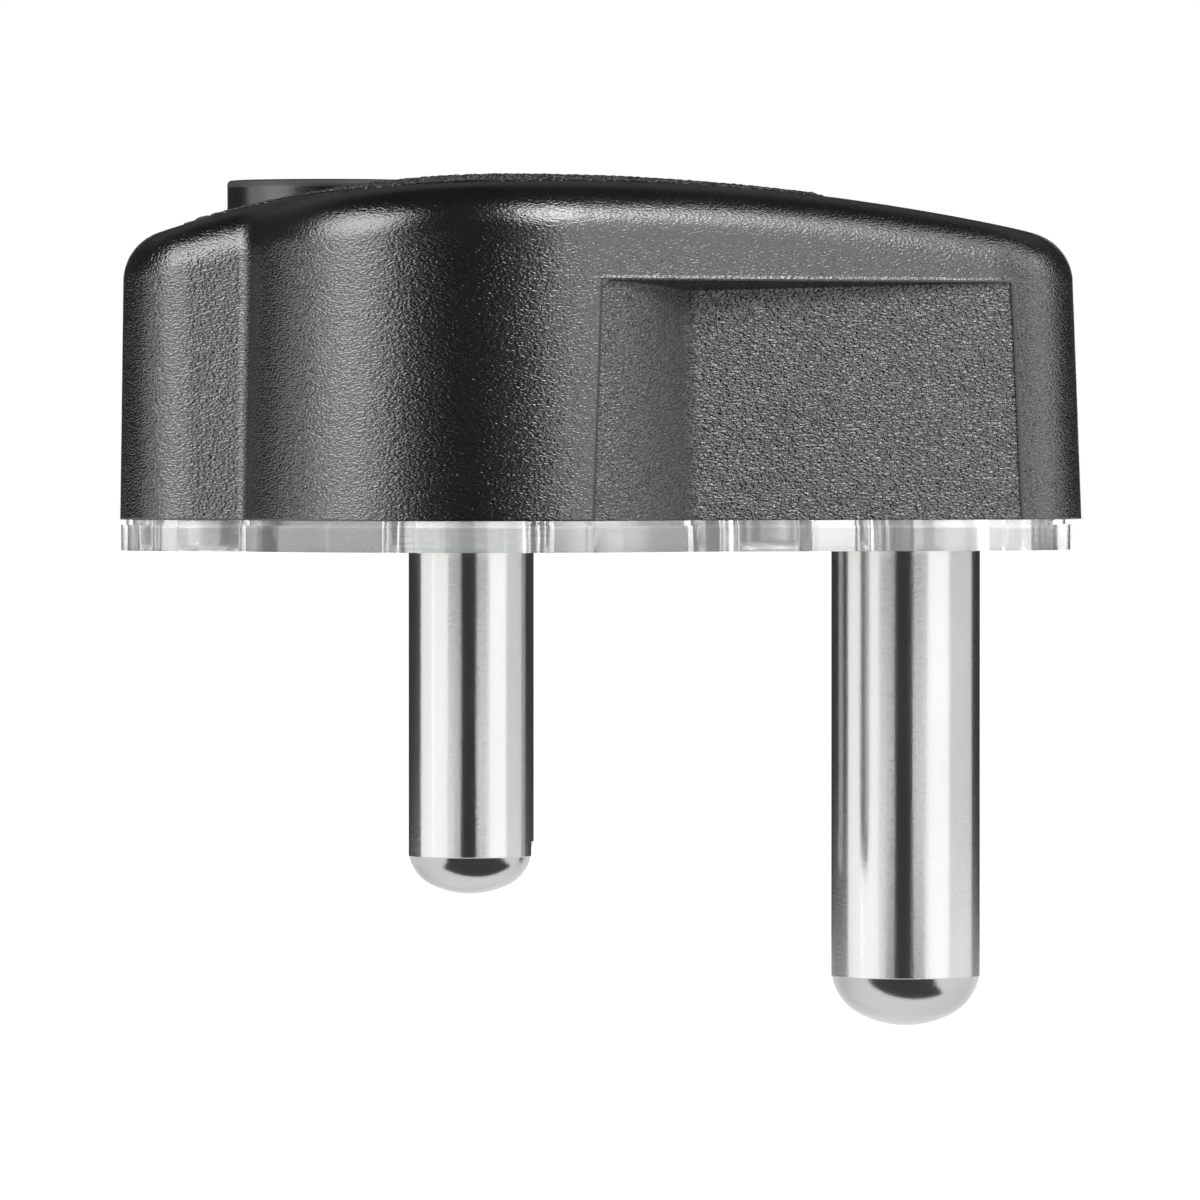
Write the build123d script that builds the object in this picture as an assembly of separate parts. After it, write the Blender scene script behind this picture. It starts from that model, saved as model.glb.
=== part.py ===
from build123d import *
import math
import os

os.makedirs("parts", exist_ok=True)

# A rewirable three-pin plug top with round pins: a thick rubbery cover over a clear base plate.
# All sizes are in millimetres. The pins point down, along -Z, and the cover is above them.
# The origin is on the base plate's outer face, midway between the line and the neutral pin.
# +X runs from there towards the earth pin. The line pin is on the -Y side.
# Plan angles below are counted from -Y, positive towards +X, and name the way a wall faces.

# Pins
PIN_SPACING = 25.4            # line pin to neutral pin, centre to centre
EARTH_X = 25.4                # from the line of those two pins to the earth pin
POWER_PIN_R = 3.53
EARTH_PIN_R = 4.355
POWER_PIN_LENGTH = 19.7       # from the plate's outer face to the tip
EARTH_PIN_LENGTH = 27.9
TIP_BREAK = 0.04              # how far the tip's round starts inside the shank
ROOT_EXTRA = 0.25             # the root inside the plate is this much thicker
ROOT_SHOWN = 0.08             # and shows this far under the plate

# Cover, in plan
LEFT_X = -20.4
END_MARGIN = 10.3             # from the earth pin's axis to the cover's round end
SIDE_MARGIN = 9.3             # from a power pin's axis to the cover's side
LOBE_R = 14.4                 # the round side of the cover beside each power pin
LOBE_X = 0.3
TAPER_DEG = 27.0              # the way the long side wall faces
BLOCK_DEG = 20.0              # the way the side of the narrow end block faces
GROOVE_DEG = 67.5             # where that side runs into the lobe
GROOVE_R = 0.9
CORNER_R = 6.5
SMALLEST_CORNER = 0.5         # kept where the outline is moved far inwards

# Cover, in height
COVER_BOTTOM = 1.8
CREST_X = 2.2
CREST_Z = 21.85
LEFT_DOME_R = 64.4            # the top's arc from the crest to the end block
RIGHT_DOME_R = 142.5          # and from the crest to the earth end
CROWN_R = 260.0               # the top's arc from side to side
DOME_MARGIN = 10.0            # the domed cutter reaches this far past each side
DOME_DEPTH = 8.0              # and this far below the origin
LEFT_DOME_TURN = 30.0         # degrees, enough to pass the end block
RIGHT_DOME_TURN = 17.0        # and the earth end
TOP_FILLET = 3.0
LEFT_DRAFT = 0.75             # degrees
RIGHT_DRAFT = 2.1
SIDE_DRAFT = 1.5
WALL = 2.2
RIM_EDGES_ABOVE = 13.0        # every edge of the top lies higher than this

# Grip recess in each long side
GRIP_TOP = 15.55
GRIP_SINK = 0.15              # the round part of the recess lies this far under the lobe
GRIP_START_X = 7.1            # the recess's upright edge on the lobe, at the bottom
GRIP_START_LEAN = 2.0         # degrees, that edge leans towards the earth end by this
GRIP_START_CORNER = 0.45      # its top corner is cut off by this
GRIP_CREASE_DEG = 59.3        # where the lobe runs into the flat panel
GRIP_CREASE_R = 0.8
GRIP_PANEL_DEG = 21.0         # the way that panel faces
GRIP_END_MARGIN = 4.4         # from the panel's end to the cover's round end
GRIP_END_LEAN = 2.6           # degrees, the panel's end edge leans in by this
GRIP_LEDGE_DEG = 14.5         # the slope of the ledge over the recess
GRIP_WALL = 1.8

# Raised rough panel on the top
PANEL_RISE = 0.05
PANEL_MARGIN = 3.7            # from the foot of the cover's wall
PANEL_LAND = 1.0              # the plain ring left around the cord sleeve
PANEL_END_MARGIN = 15.3       # from the panel's end to the cover's round end

# Base plate
RIM = 1.8                     # the band seen under the cover
STEP = 1.4                    # the part inside the cover's mouth
PLATE_INSET = 0.12
PLATE_END_INSET = 0.65        # the cover overhangs the plate by this at the earth end
RIM_GROOVE = 0.3              # the fine step along the band's top edge
STEP_CLEARANCE = 0.15

# Cord sleeve
SLEEVE_X = -8.5
SLEEVE_R = 5.85
SLEEVE_BORE_R = 4.4
SLEEVE_TOP = 21.6
SLEEVE_SEAT = 17.0
FLANGE_R = 7.4
FLANGE = 1.7
FLANGE_POCKET_R = 7.5
SLEEVE_BOSS_R = 9.2
SLEEVE_BOSS_BOTTOM = 14.8

# Pin heads and their collars, inside
POWER_COLLAR_R = 5.2
EARTH_COLLAR_R = 5.5
COLLAR = 1.4
POWER_HEAD_R = 4.3
EARTH_HEAD_R = 4.6
HEAD_CHAMFER = 0.4
POWER_HEAD_TOP = 14.0
EARTH_HEAD_TOP = 13.2
POWER_WIRE_HOLE_R = 1.6
EARTH_WIRE_HOLE_R = 1.9
WIRE_HOLE_Z = 8.9

# Terminal screws
TERMINAL_SCREW_R = 1.95
TERMINAL_HEAD_R = 3.3
TERMINAL_HEAD = 2.3
SLOT_WIDTH = 0.9

# Terminal housing
FLOOR = 2.8
HOUSING_CLEARANCE = 0.4
POWER_LOBE_R = 6.9
EARTH_LOBE_R = 6.7
SHROUD = 1.2
SHROUD_GAP = 1.1
SHROUD_TOP = 12.4
WIRE_GAP = 4.4                # the slot in each shroud that a wire comes in through
WIRE_SILL = 0.5               # its foot stands this far over the floor
WIRE_GAP_LENGTH = 12.0
CORD_WALL_LENGTH = 9.0
CORD_WALL = 3.5               # height of the low walls beside the cord
CORD_WALL_GAP = 1.9           # from a power shroud to the low wall

# Cord clamp
CLAMP_X = 9.2
CLAMP_SCREW_Y = 8.8
CORD_Z = 10.6
CORD_R = 4.0
CLAMP_WIDTH = 4.6
CLAMP_THICKNESS = 2.0
POST_R = 2.8
POST_TOP = 10.0
SADDLE = 3.0
CLAMP_SCREW_R = 1.45
CLAMP_HEAD_R = 2.3
CLAMP_HEAD = 1.9
NUT_FLATS = 5.5
NUT = 2.4

# Cover fixing screws, put in from below
SCREW_TO_EARTH = 9.9          # the middle screw, from the earth pin's axis
END_SCREW_MARGIN = 6.1        # the other two, from the end wall
END_SCREW_Y = 7.2
SCREW_R = 1.7
SCREW_HEAD_R = 2.9
SCREW_HEAD = 1.6
SCREW_RECESS = 0.15           # the head stays this far inside the plate's face
SCREW_LENGTH = 9.4
BOSS_R = 3.7
INSERT_R = 2.6
INSERT = 6.0
INSERT_GROOVE = 0.4            # the depth of the groove round its middle
INSERT_GROOVE_WIDTH = 0.9

FIT = 0.03                    # gap left between pieces that touch
LOOSE = 0.1                   # gap round a pin or screw that passes through
THROUGH = 80.0                # longer than any piece, for a cut that goes right through
OVERLAP = 1.0                 # how far a cutter runs past the face that it opens

PIN_Y = PIN_SPACING / 2
HALF_WIDTH = PIN_Y + SIDE_MARGIN
RIGHT_X = EARTH_X + END_MARGIN
LOBE_Y = HALF_WIDTH - LOBE_R
STEP_TOP = RIM + STEP
ABOVE = CREST_Z + 2 * OVERLAP
SCREW_PLACES = [
    (EARTH_X - SCREW_TO_EARTH, 0.0),
    (LEFT_X + END_SCREW_MARGIN, -END_SCREW_Y),
    (LEFT_X + END_SCREW_MARGIN, END_SCREW_Y),
]
HEAD_BOTTOM = STEP_TOP + COLLAR
FLOOR_BOTTOM = STEP_TOP + FIT
FLOOR_TOP = FLOOR_BOTTOM + FLOOR


# Plan geometry

def facing(degrees):
    angle = math.radians(degrees)
    return Vector(math.sin(angle), -math.cos(angle))


def facing_angle(vector):
    return math.degrees(math.atan2(vector.X, -vector.Y))


def plan_arc(centre, radius, start_deg, end_deg):
    middle = (start_deg + end_deg) / 2
    return ThreePointArc(
        centre + facing(start_deg) * radius,
        centre + facing(middle) * radius,
        centre + facing(end_deg) * radius,
    )


def block_wall_distance():
    lobe = Vector(LOBE_X, -LOBE_Y)
    meeting = lobe + facing(-GROOVE_DEG) * LOBE_R
    return facing(-BLOCK_DEG).dot(meeting)


def hollow_centre(lobe_r, wall_deg, wall, round_r, side):
    """The centre of a hollow round that touches the lobe and a flat wall.

    The side is 1 where the wall lies to the lobe's right, seen from outside, and -1 to its left.
    """
    lobe = Vector(LOBE_X, -LOBE_Y)
    outward = facing(wall_deg)
    reach = wall + round_r - outward.dot(lobe)
    along = math.sqrt((lobe_r + round_r) ** 2 - reach**2)
    return lobe + outward * reach + Vector(-outward.Y, outward.X) * along * side


def nose_radius(side_inset, right_x):
    """The round end that both long walls run into without a kink."""
    lobe = Vector(LOBE_X, -LOBE_Y)
    wall = facing(TAPER_DEG).dot(lobe) + LOBE_R - side_inset
    slope = math.sin(math.radians(TAPER_DEG))
    return (wall - right_x * slope) / (1 - slope)


def plan_outline(side_inset=0.0, left_x=LEFT_X, right_x=RIGHT_X):
    """The cover's outline seen from above, moved inwards by the inset."""
    lobe = Vector(LOBE_X, -LOBE_Y)
    lobe_r = LOBE_R - side_inset
    corner_r = max(CORNER_R - side_inset, SMALLEST_CORNER)
    groove_r = GROOVE_R + side_inset
    outward = facing(-BLOCK_DEG)
    wall = block_wall_distance() - side_inset

    # The end corner touches the end wall and the block's side wall.
    corner_x = left_x + corner_r
    corner = Vector(corner_x, (wall - corner_r - outward.X * corner_x) / outward.Y)

    groove = hollow_centre(lobe_r, -BLOCK_DEG, wall, groove_r, -1)
    groove_deg = facing_angle(groove - lobe)

    nose_r = nose_radius(side_inset, right_x)
    nose = Vector(right_x - nose_r, 0)

    near = [
        plan_arc(corner, corner_r, -90, -BLOCK_DEG),
        Line(corner + outward * corner_r, groove - outward * groove_r),
        plan_arc(groove, groove_r, 180 - BLOCK_DEG, 180 + groove_deg),
        plan_arc(lobe, lobe_r, groove_deg, TAPER_DEG),
        Line(lobe + facing(TAPER_DEG) * lobe_r, nose + facing(TAPER_DEG) * nose_r),
    ]
    far = [edge.mirror(Plane.XZ) for edge in near]
    end = Line((left_x, corner.Y), (left_x, -corner.Y))
    round_end = plan_arc(nose, nose_r, TAPER_DEG, 180 - TAPER_DEG)
    return Wire([*near, *far, end, round_end])


def at_height(wire, z):
    return wire.moved(Location((0, 0, z)))


def lean(z, degrees):
    """How far a wall with this draft has come in at a height."""
    return (z - COVER_BOTTOM) * math.tan(math.radians(degrees))


def outline_at(z, inset=0.0):
    """The cover's wall at one height. Each wall leans in by its own draft."""
    side = inset + lean(z, SIDE_DRAFT)
    left = LEFT_X + inset + lean(z, LEFT_DRAFT)
    right = RIGHT_X - inset - lean(z, RIGHT_DRAFT)
    return at_height(plan_outline(side, left, right), z)


def walls(bottom, top, inset=0.0):
    return Solid.make_loft([outline_at(bottom, inset), outline_at(top, inset)], ruled=True)


# The domed top

def dome_part(radius, drop, towards_left):
    """Everything under one half of the top, as an arc turned about an axis along Y."""
    crest = CREST_Z - drop
    crown = CROWN_R - drop
    reach = HALF_WIDTH + DOME_MARGIN
    edge = crest - crown + math.sqrt(crown**2 - reach**2)
    section = Wire([
        ThreePointArc((CREST_X, -reach, edge), (CREST_X, 0, crest), (CREST_X, reach, edge)),
        *Polyline(
            (CREST_X, reach, edge),
            (CREST_X, reach, -DOME_DEPTH),
            (CREST_X, -reach, -DOME_DEPTH),
            (CREST_X, -reach, edge),
        ).edges(),
    ])
    across = (0, -1, 0) if towards_left else (0, 1, 0)
    axis = Axis((CREST_X, 0, CREST_Z - radius), across)
    turn = LEFT_DOME_TURN if towards_left else RIGHT_DOME_TURN
    return revolve(Face(section), axis, turn)


def under_dome(drop=0.0):
    left = dome_part(LEFT_DOME_R, drop, True)
    right = dome_part(RIGHT_DOME_R, drop, False)
    return left + right


# Grip recess

def grip_outline(z, grow):
    """The space cut from the near side, in plan: round the lobe, then along a flat panel.

    The space can be grown by a wall's thickness. Its crease is found on the ungrown recess.
    """
    lobe = Vector(LOBE_X, -LOBE_Y)
    full_radius = LOBE_R - GRIP_SINK - lean(z, SIDE_DRAFT)
    radius = full_radius - grow
    crease_r = GRIP_CREASE_R + grow
    outward = facing(GRIP_PANEL_DEG)
    panel = outward.dot(lobe + facing(GRIP_CREASE_DEG) * full_radius) - grow
    crease = hollow_centre(radius, GRIP_PANEL_DEG, panel, crease_r, 1)
    crease_deg = facing_angle(crease - lobe)

    start_x = GRIP_START_X - grow + lean(z, GRIP_START_LEAN)
    start_deg = math.degrees(math.asin((start_x - lobe.X) / radius))
    first = lobe + facing(start_deg) * radius
    end_x = RIGHT_X - GRIP_END_MARGIN + grow - lean(z, GRIP_END_LEAN) + lean(GRIP_TOP, GRIP_END_LEAN)
    panel_start = crease - outward * crease_r
    panel_run = (end_x - panel_start.X) * math.tan(math.radians(GRIP_PANEL_DEG))
    end = Vector(end_x, panel_start.Y + panel_run)
    return at_height(
        Wire([
            plan_arc(lobe, radius, start_deg, crease_deg),
            plan_arc(crease, crease_r, 180 + crease_deg, 180 + GRIP_PANEL_DEG),
            *Polyline(panel_start, end, (end_x, -THROUGH), (first.X, -THROUGH), first).edges(),
        ]),
        z,
    )


def grip_space(grow=0.0):
    """The whole recess on the near side. Its ceiling is a ledge that slopes down inwards."""
    outlines = [grip_outline(-OVERLAP, grow), grip_outline(GRIP_TOP + 3 * OVERLAP, grow)]
    block = Solid.make_loft(outlines, ruled=True)
    outward = facing(TAPER_DEG)
    wall = outward.dot(Vector(LOBE_X, -LOBE_Y)) + LOBE_R - lean(GRIP_TOP, SIDE_DRAFT)
    edge = outward * wall
    tilt = math.tan(math.radians(GRIP_LEDGE_DEG))
    ledge = Plane(
        origin=(edge.X, edge.Y, GRIP_TOP + grow),
        z_dir=(-outward.X * tilt, -outward.Y * tilt, 1),
    )
    block = split(block, bisect_by=ledge, keep=Keep.BOTTOM)
    corner_x = GRIP_START_X - grow + lean(GRIP_TOP, GRIP_START_LEAN) + GRIP_START_CORNER
    corner = Plane(origin=(corner_x, 0, GRIP_TOP + grow), z_dir=(-1, 0, 1))
    return split(block, bisect_by=corner, keep=Keep.BOTTOM)


def both_sides(shape):
    return shape + mirror(shape, about=Plane.XZ)


def peg(x, y, bottom, top, radius):
    return Pos(x, y, (bottom + top) / 2) * Cylinder(radius, top - bottom)


def drill(x, y, radius):
    return Pos(x, y, 0) * Cylinder(radius, 2 * THROUGH)


# Cover

def cover_skin():
    body = walls(COVER_BOTTOM, ABOVE) & under_dome()
    rim = body.edges().filter_by(lambda e: e.center().Z > RIM_EDGES_ABOVE)
    rim = rim.filter_by(lambda e: abs(e.center().X - CREST_X) > OVERLAP / 2
                        or abs(e.center().Y) > HALF_WIDTH / 4)
    return fillet(rim, TOP_FILLET)


def cover_space():
    space = walls(COVER_BOTTOM - OVERLAP, ABOVE, WALL) & under_dome(WALL)
    return space - both_sides(grip_space(GRIP_WALL))


def top_panel():
    """A thin raised panel that follows the top."""
    outline = plan_outline(PANEL_MARGIN, LEFT_X + PANEL_MARGIN, RIGHT_X - PANEL_MARGIN)
    block = extrude(Face(outline), ABOVE)
    end = Plane(origin=(RIGHT_X - PANEL_END_MARGIN, 0, 0), z_dir=(-1, 0, 0))
    block = split(block, bisect_by=end, keep=Keep.TOP)
    block -= drill(SLEEVE_X, 0, SLEEVE_R + PANEL_LAND)
    return (block & under_dome(-PANEL_RISE)) - under_dome(WALL / 2)


def build_cover():
    cover = cover_skin() - both_sides(grip_space())
    cover = cover + top_panel()
    space = cover_space()
    for x, y in SCREW_PLACES:
        space -= peg(x, y, STEP_TOP + LOOSE, ABOVE, BOSS_R)
    space -= peg(SLEEVE_X, 0, SLEEVE_BOSS_BOTTOM, ABOVE, SLEEVE_BOSS_R)
    cover -= space
    cover -= drill(SLEEVE_X, 0, SLEEVE_R + LOOSE / 2)
    cover -= peg(SLEEVE_X, 0, SLEEVE_BOSS_BOTTOM - OVERLAP, SLEEVE_SEAT, FLANGE_POCKET_R)
    for x, y in SCREW_PLACES:
        cover -= peg(x, y, 0, STEP_TOP + LOOSE + INSERT + FIT, INSERT_R + FIT)
        cover -= peg(x, y, 0, SCREW_RECESS + SCREW_HEAD + SCREW_LENGTH + 1, SCREW_R + LOOSE)
    return cover


# Base plate

def plate_layer(bottom, top, inset):
    left = LEFT_X + PLATE_INSET / 2 + inset
    right = RIGHT_X - PLATE_END_INSET - inset
    outline = plan_outline(PLATE_INSET + inset, left, right)
    layer = extrude(Face(at_height(outline, bottom)), top - bottom)
    return layer - both_sides(grip_space(inset))


def build_base_plate():
    plate = plate_layer(0, RIM - RIM_GROOVE, 0) + plate_layer(RIM - RIM_GROOVE, RIM, RIM_GROOVE)
    step = walls(COVER_BOTTOM - OVERLAP, STEP_TOP, WALL + STEP_CLEARANCE)
    step -= both_sides(grip_space(GRIP_WALL + STEP_CLEARANCE))
    plate += step
    for x, y in SCREW_PLACES:
        plate -= peg(x, y, -OVERLAP, SCREW_RECESS + SCREW_HEAD + FIT, SCREW_HEAD_R + LOOSE)
        plate -= drill(x, y, SCREW_R + LOOSE)
    for y in (-PIN_Y, PIN_Y):
        plate -= drill(0, y, POWER_PIN_R + ROOT_EXTRA + FIT)
    plate -= drill(EARTH_X, 0, EARTH_PIN_R + ROOT_EXTRA + FIT)
    return plate


# Pins

def tip_outline(radius, length, corner, end):
    """Half of a turned tip: a corner round that runs into a flatter round end."""
    corner_r = corner * radius
    end_r = end * radius
    end_z = -length + end_r
    corner_x = radius - corner_r
    corner_z = end_z - math.sqrt((end_r - corner_r) ** 2 - corner_x**2)
    lean = math.atan2(corner_x, end_z - corner_z)
    meeting = (end_r * math.sin(lean), end_z - end_r * math.cos(lean))
    start_x = radius - TIP_BREAK
    drop = math.sqrt(corner_r**2 - (start_x - corner_x) ** 2)
    start = (start_x, corner_z - drop)
    opening = (math.asin(drop / corner_r) + math.pi / 2 - lean) / 2
    middle = (
        corner_x + corner_r * math.cos(opening),
        corner_z - corner_r * math.sin(opening),
    )
    half = (end_r * math.sin(lean / 2), end_z - end_r * math.cos(lean / 2))
    return start, middle, meeting, half


def build_pin(x, y, radius, length, tip, collar_r, head_r, head_top, wire_r):
    start, middle, meeting, half = tip_outline(radius, length, *tip)
    break_z = start[1] + TIP_BREAK
    profile = Wire([
        *Polyline(
            (start[0], 0, start[1]),
            (radius, 0, break_z),
            (radius, 0, -ROOT_SHOWN),
            (radius + ROOT_EXTRA, 0, -ROOT_SHOWN),
            (radius + ROOT_EXTRA, 0, STEP_TOP + FIT),
            (collar_r, 0, STEP_TOP + FIT),
            (collar_r, 0, HEAD_BOTTOM),
            (head_r, 0, HEAD_BOTTOM),
            (head_r, 0, head_top - HEAD_CHAMFER),
            (head_r - HEAD_CHAMFER, 0, head_top),
            (0, 0, head_top),
            (0, 0, -length),
        ).edges(),
        ThreePointArc((0, 0, -length), (half[0], 0, half[1]), (meeting[0], 0, meeting[1])),
        ThreePointArc(
            (meeting[0], 0, meeting[1]),
            (middle[0], 0, middle[1]),
            (start[0], 0, start[1]),
        ),
    ])
    pin = revolve(Face(profile), Axis.Z, 360)
    pin -= peg(0, 0, WIRE_HOLE_Z - wire_r - 0.8, head_top + 1, TERMINAL_SCREW_R + FIT)
    pin -= Pos(0, 0, WIRE_HOLE_Z) * Rot(0, 90, 0) * Cylinder(wire_r, THROUGH)
    return Pos(x, y, 0) * pin


def build_power_pin(side):
    return build_pin(
        0, side * PIN_Y, POWER_PIN_R, POWER_PIN_LENGTH, (0.65, 1.45),
        POWER_COLLAR_R, POWER_HEAD_R, POWER_HEAD_TOP, POWER_WIRE_HOLE_R,
    )


def build_earth_pin():
    return build_pin(
        EARTH_X, 0, EARTH_PIN_R, EARTH_PIN_LENGTH, (0.7, 1.33),
        EARTH_COLLAR_R, EARTH_HEAD_R, EARTH_HEAD_TOP, EARTH_WIRE_HOLE_R,
    )


# Screws, nuts and inserts

def slotted_screw(head_r, head, shank_r, shank):
    """A screw with its head's underside at the origin and its shank along -Z."""
    top = Pos(0, 0, head / 2) * Cylinder(head_r, head)
    top = fillet(top.edges().sort_by(Axis.Z)[-1], min(head_r, head) * 0.25)
    top -= Pos(0, 0, head) * Box(3 * head_r, SLOT_WIDTH, head)
    stem = Pos(0, 0, -shank / 2) * Cylinder(shank_r, shank)
    stem = chamfer(stem.edges().sort_by(Axis.Z)[0], shank_r * 0.3)
    return top + stem


def build_terminal_screw(x, y, head_top, wire_r):
    depth = head_top - WIRE_HOLE_Z - wire_r * 0.4
    screw = slotted_screw(TERMINAL_HEAD_R, TERMINAL_HEAD, TERMINAL_SCREW_R, depth)
    return Pos(x, y, head_top + FIT) * Rot(0, 0, 24) * screw


def build_cover_screw(x, y, turn):
    screw = slotted_screw(SCREW_HEAD_R, SCREW_HEAD, SCREW_R, SCREW_LENGTH)
    return Pos(x, y, SCREW_RECESS + SCREW_HEAD) * Rot(180, 0, turn) * screw


def build_insert(x, y):
    bottom = STEP_TOP + LOOSE
    insert = peg(0, 0, bottom, bottom + INSERT, INSERT_R)
    insert -= Pos(0, 0, bottom + INSERT / 2) * (
        Cylinder(INSERT_R + OVERLAP, INSERT_GROOVE_WIDTH)
        - Cylinder(INSERT_R - INSERT_GROOVE, INSERT_GROOVE_WIDTH)
    )
    insert -= drill(0, 0, SCREW_R + FIT)
    return Pos(x, y, 0) * insert


def build_clamp_screw(side):
    foot_top = POST_TOP + FIT + CLAMP_THICKNESS
    shank = foot_top - FLOOR_BOTTOM - 0.4
    screw = slotted_screw(CLAMP_HEAD_R, CLAMP_HEAD, CLAMP_SCREW_R, shank)
    return Pos(CLAMP_X, side * CLAMP_SCREW_Y, foot_top + FIT) * Rot(0, 0, 40 * side) * screw


def nut_block(flats, bottom, top):
    face = RegularPolygon(flats / 2, 6, major_radius=False)
    return Pos(0, 0, bottom) * extrude(face, top - bottom)


def build_clamp_nut(side):
    nut = nut_block(NUT_FLATS, FLOOR_BOTTOM + FIT, FLOOR_BOTTOM + FIT + NUT)
    nut -= drill(0, 0, CLAMP_SCREW_R + FIT)
    return Pos(CLAMP_X, side * CLAMP_SCREW_Y, 0) * nut


# Terminal housing

def housing_outline():
    circles = Sketch() + [
        Pos(0, -PIN_Y) * Circle(POWER_LOBE_R),
        Pos(0, PIN_Y) * Circle(POWER_LOBE_R),
        Pos(EARTH_X, 0) * Circle(EARTH_LOBE_R),
    ]
    return make_hull(circles.edges())


def shroud(x, y, head_r, outer_r):
    ring = peg(x, y, FLOOR_TOP - OVERLAP, SHROUD_TOP, outer_r)
    return ring - drill(x, y, head_r + SHROUD_GAP)


def wire_gap(x, y):
    """A slot from a terminal's axis out through its shroud, at the given middle."""
    bottom = FLOOR_TOP + WIRE_SILL
    height = SHROUD_TOP + OVERLAP - bottom
    return Pos(x, y, bottom + height / 2) * Box(WIRE_GAP_LENGTH, WIRE_GAP, height)


def build_terminal_housing():
    clear = walls(COVER_BOTTOM - OVERLAP, ABOVE, WALL + HOUSING_CLEARANCE)
    clear -= both_sides(grip_space(GRIP_WALL + HOUSING_CLEARANCE))
    floor = extrude(housing_outline(), FLOOR)
    housing = Pos(0, 0, FLOOR_BOTTOM) * floor
    for y in (-PIN_Y, PIN_Y):
        housing += shroud(0, y, POWER_HEAD_R, POWER_HEAD_R + SHROUD_GAP + SHROUD)
    housing += shroud(EARTH_X, 0, EARTH_HEAD_R, EARTH_HEAD_R + SHROUD_GAP + SHROUD)

    # The saddle under the cord, with a post at each end for the clamp bar's screws.
    saddle = Box(CLAMP_WIDTH, 2 * CLAMP_SCREW_Y, SADDLE + OVERLAP)
    saddle = Pos(CLAMP_X, 0, FLOOR_TOP + (SADDLE - OVERLAP) / 2) * saddle
    saddle -= Pos(CLAMP_X, 0, CORD_Z) * Rot(0, 90, 0) * Cylinder(CORD_R, THROUGH)
    housing += saddle
    for y in (-CLAMP_SCREW_Y, CLAMP_SCREW_Y):
        housing += peg(CLAMP_X, y, FLOOR_TOP - OVERLAP, POST_TOP, POST_R)

    # Two low walls keep the cord away from the power terminals.
    wall_y = PIN_Y - POWER_HEAD_R - SHROUD_GAP - SHROUD - CORD_WALL_GAP / 2
    for y in (-wall_y, wall_y):
        low_wall = Box(CORD_WALL_LENGTH, SHROUD, CORD_WALL + OVERLAP)
        housing += Pos(0, y, FLOOR_TOP + (CORD_WALL - OVERLAP) / 2) * low_wall
    housing &= clear

    # Wells for the collars, holes for the heads, and gaps for the wires.
    for y in (-PIN_Y, PIN_Y):
        housing -= peg(0, y, 0, HEAD_BOTTOM + FIT, POWER_COLLAR_R + LOOSE)
        housing -= drill(0, y, POWER_HEAD_R + LOOSE)
        housing -= wire_gap(WIRE_GAP_LENGTH / 2, y)
    housing -= peg(EARTH_X, 0, 0, HEAD_BOTTOM + FIT, EARTH_COLLAR_R + LOOSE)
    housing -= drill(EARTH_X, 0, EARTH_HEAD_R + LOOSE)
    housing -= wire_gap(EARTH_X - WIRE_GAP_LENGTH / 2, 0)
    housing -= drill(*SCREW_PLACES[0], BOSS_R + HOUSING_CLEARANCE)
    for y in (-CLAMP_SCREW_Y, CLAMP_SCREW_Y):
        housing -= drill(CLAMP_X, y, CLAMP_SCREW_R + LOOSE)
        pocket = nut_block(NUT_FLATS + 2 * FIT, 0, FLOOR_BOTTOM + NUT + 3 * FIT)
        housing -= Pos(CLAMP_X, y, 0) * pocket
    return housing


def build_clamp_bar():
    """A bar that arches over the cord, with a flat foot at each end."""
    foot_bottom = POST_TOP + FIT
    foot = Box(CLAMP_WIDTH, 2 * (CLAMP_SCREW_Y + POST_R), CLAMP_THICKNESS)
    bar = Pos(CLAMP_X, 0, foot_bottom + CLAMP_THICKNESS / 2) * foot
    bar = fillet(bar.edges().filter_by(Axis.Z), CLAMP_WIDTH * 0.3)
    along = Pos(CLAMP_X, 0, CORD_Z) * Rot(0, 90, 0)
    bar += along * Cylinder(CORD_R + CLAMP_THICKNESS, CLAMP_WIDTH)
    bar -= along * Cylinder(CORD_R, THROUGH)
    bar -= Pos(CLAMP_X, 0, foot_bottom - THROUGH / 2) * Box(THROUGH, THROUGH, THROUGH)
    for y in (-CLAMP_SCREW_Y, CLAMP_SCREW_Y):
        bar -= drill(CLAMP_X, y, CLAMP_SCREW_R + LOOSE)
    return bar


# Cord sleeve

def build_cord_sleeve():
    flange_top = SLEEVE_SEAT - FIT
    sleeve = peg(SLEEVE_X, 0, flange_top - FLANGE, SLEEVE_TOP, SLEEVE_R)
    sleeve = fillet(sleeve.edges().sort_by(Axis.Z)[-1], 0.25)
    sleeve += peg(SLEEVE_X, 0, flange_top - FLANGE, flange_top, FLANGE_R)
    return sleeve - drill(SLEEVE_X, 0, SLEEVE_BORE_R)


def save(shape, name):
    solids = shape.solids()
    if len(solids) != 1:
        raise ValueError(f"{name} has {len(solids)} solids")
    solid = solids[0]
    solid.label = name
    export_step(solid, f"parts/{name}.step")
    box = solid.bounding_box()
    print(f"{name}: {solid.volume:.0f} mm3, z {box.min.Z:.2f} to {box.max.Z:.2f}")


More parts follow.
